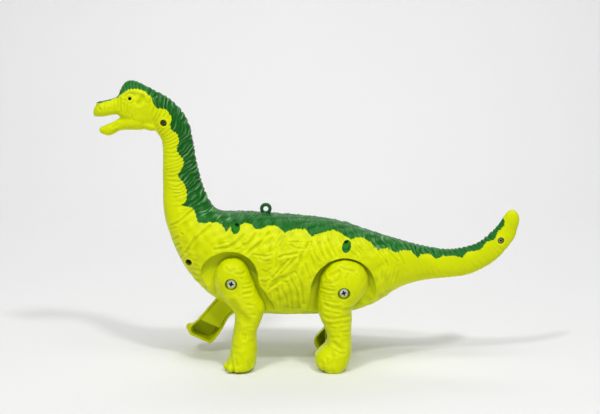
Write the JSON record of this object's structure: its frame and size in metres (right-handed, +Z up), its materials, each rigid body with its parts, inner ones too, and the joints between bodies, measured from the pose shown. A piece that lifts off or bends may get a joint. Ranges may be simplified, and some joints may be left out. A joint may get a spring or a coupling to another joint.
{
  "type": "walking dinosaur toy",
  "caption": "Long-necked walking dinosaur toy: hollow two-part plastic body, four crank-driven legs, motor and gear train inside, battery door and switch below.",
  "frame": {"origin": "under the middle of the whole toy, on the surface that it stands on", "axes": "+Z up, the head points to -X and the tail to +X, the left side of the toy faces -Y"},
  "size_m": [0.3008, 0.076, 0.2029],
  "materials": {
    "lime_plastic": "satin moulded plastic, green sprayed over the back",
    "green_plastic": "dark green plastic",
    "natural_plastic": "plain white plastic",
    "black_plastic": "black plastic",
    "screw_steel": "zinc-plated steel",
    "shaft_steel": "bright drawn steel",
    "motor_steel": "plated sheet steel",
    "contact_steel": "nickel-plated steel",
    "pinion_brass": "turned brass",
    "cell_wrapper": "printed shrink wrapper, left plain",
    "red_insulation": "soft plastic insulation",
    "black_insulation": "soft plastic insulation"
  },
  "bodies": {
    "torso": {"shell_left": "lime_plastic", "shell_right": "lime_plastic", "back_eyelet": "green_plastic", "shell_screw_neck": "screw_steel", "shell_screw_chest": "screw_steel", "shell_screw_shoulder": "screw_steel", "shell_screw_hip": "screw_steel", "shell_screw_tail": "screw_steel", "gearbox_left": "natural_plastic", "gearbox_right": "natural_plastic", "gearbox_screw_1": "screw_steel", "gearbox_screw_2": "screw_steel", "gearbox_screw_3": "screw_steel", "reduction_axle_1": "shaft_steel", "reduction_axle_2": "shaft_steel", "motor_can": "motor_steel", "motor_end_cap": "natural_plastic", "hip_screw_rear_left": "screw_steel", "hip_screw_rear_right": "screw_steel", "battery_box": "black_plastic", "battery_cell_left": "cell_wrapper", "battery_cell_right": "cell_wrapper", "battery_spring_left": "contact_steel", "battery_spring_right": "contact_steel", "battery_contact_left": "contact_steel", "battery_contact_right": "contact_steel", "battery_contact_bridge": "contact_steel", "switch_body": "black_plastic", "wire_red": "red_insulation", "wire_black": "black_insulation"},
    "front_crank": {"front_axle": "shaft_steel", "front_crank_gear": "natural_plastic", "crank_disc_front_left": "natural_plastic", "crank_disc_front_right": "natural_plastic", "hip_screw_front_left": "screw_steel", "hip_screw_front_right": "screw_steel"},
    "sleeve_left": {"hub_sleeve_front_left": "natural_plastic"},
    "sleeve_right": {"hub_sleeve_front_right": "natural_plastic"},
    "leg_front_left": {"leg_front_left_outer": "lime_plastic", "leg_front_left_inner": "lime_plastic"},
    "leg_front_right": {"leg_front_right_outer": "lime_plastic", "leg_front_right_inner": "lime_plastic"},
    "leg_rear_left": {"leg_rear_left_outer": "lime_plastic", "leg_rear_left_inner": "lime_plastic"},
    "leg_rear_right": {"leg_rear_right_outer": "lime_plastic", "leg_rear_right_inner": "lime_plastic"},
    "idler_a": {"idler_gear_a": "natural_plastic"},
    "idler_b": {"idler_gear_b": "natural_plastic"},
    "rear_crank": {"rear_axle": "shaft_steel", "rear_crank_gear": "natural_plastic", "crank_disc_rear_left": "natural_plastic", "crank_disc_rear_right": "natural_plastic"},
    "reduction_2": {"reduction_gear_2": "natural_plastic"},
    "reduction_1": {"reduction_gear_1": "natural_plastic"},
    "motor_rotor": {"motor_shaft": "shaft_steel", "motor_pinion": "pinion_brass"},
    "battery_door": {"battery_door": "lime_plastic", "battery_door_screw": "screw_steel"},
    "switch_slider": {"switch_slider": "black_plastic"}
  },
  "joints": [
    {"name": "front_crank_turn", "type": "hinge", "parent": "torso", "child": "front_crank", "pos_m": [-0.0533, 0, 0.0656], "axis": [0, 1, 0], "continuous": true},
    {"name": "sleeve_left_turn", "type": "hinge", "parent": "front_crank", "child": "sleeve_left", "pos_m": [-0.0533, 0, 0.0634], "axis": [0, 1, 0], "continuous": true},
    {"name": "sleeve_right_turn", "type": "hinge", "parent": "front_crank", "child": "sleeve_right", "pos_m": [-0.0533, 0, 0.0678], "axis": [0, 1, 0], "continuous": true},
    {"name": "leg_front_left_swing", "type": "hinge", "parent": "sleeve_left", "child": "leg_front_left", "pos_m": [-0.0533, 0, 0.0634], "axis": [0, 1, 0], "range_deg": [0, 31.5]},
    {"name": "leg_front_right_swing", "type": "hinge", "parent": "sleeve_right", "child": "leg_front_right", "pos_m": [-0.0533, 0, 0.0678], "axis": [0, 1, 0], "range_deg": [-31.5, 0]},
    {"name": "leg_rear_left_swing", "type": "hinge", "parent": "torso", "child": "leg_rear_left", "pos_m": [0.025, 0, 0.057], "axis": [0, 1, 0], "range_deg": [-12, 12]},
    {"name": "leg_rear_right_swing", "type": "hinge", "parent": "torso", "child": "leg_rear_right", "pos_m": [0.025, 0, 0.057], "axis": [0, 1, 0], "range_deg": [-12, 12]},
    {"name": "idler_a_turn", "type": "hinge", "parent": "torso", "child": "idler_a", "pos_m": [-0.03138, 0, 0.08382], "axis": [0, 1, 0], "continuous": true},
    {"name": "idler_b_turn", "type": "hinge", "parent": "torso", "child": "idler_b", "pos_m": [0.00159, 0, 0.08525], "axis": [0, 1, 0], "continuous": true},
    {"name": "rear_crank_turn", "type": "hinge", "parent": "torso", "child": "rear_crank", "pos_m": [0.025, 0, 0.069], "axis": [0, 1, 0], "continuous": true},
    {"name": "reduction_2_turn", "type": "hinge", "parent": "torso", "child": "reduction_2", "pos_m": [-0.01679, 0, 0.06942], "axis": [0, 1, 0], "continuous": true},
    {"name": "reduction_1_turn", "type": "hinge", "parent": "torso", "child": "reduction_1", "pos_m": [-0.0053, 0, 0.06595], "axis": [0, 1, 0], "continuous": true},
    {"name": "motor_turn", "type": "hinge", "parent": "torso", "child": "motor_rotor", "pos_m": [-0.016, 0, 0.06445], "axis": [0, 1, 0], "continuous": true},
    {"name": "battery_door_swing", "type": "hinge", "parent": "torso", "child": "battery_door", "pos_m": [-0.0445, 0, 0.0378], "axis": [0, 1, 0], "range_deg": [0, 60]},
    {"name": "switch_slide", "type": "slide", "parent": "torso", "child": "switch_slider", "axis": [1, 0, 0], "range_m": [0, 0.003]}
  ],
  "couplings": [
    {"joint": "sleeve_left_turn", "follows": "front_crank_turn", "ratio": -1},
    {"joint": "sleeve_right_turn", "follows": "front_crank_turn", "ratio": -1},
    {"joint": "idler_a_turn", "follows": "front_crank_turn", "ratio": -0.72727},
    {"joint": "idler_b_turn", "follows": "front_crank_turn", "ratio": 0.72727},
    {"joint": "rear_crank_turn", "follows": "front_crank_turn", "ratio": -1},
    {"joint": "reduction_2_turn", "follows": "front_crank_turn", "ratio": 3},
    {"joint": "reduction_1_turn", "follows": "front_crank_turn", "ratio": -12},
    {"joint": "motor_turn", "follows": "front_crank_turn", "ratio": 42},
    {"joint": "leg_front_right_swing", "follows": "leg_front_left_swing", "ratio": -1},
    {"joint": "leg_rear_right_swing", "follows": "leg_rear_left_swing", "ratio": -1}
  ]
}
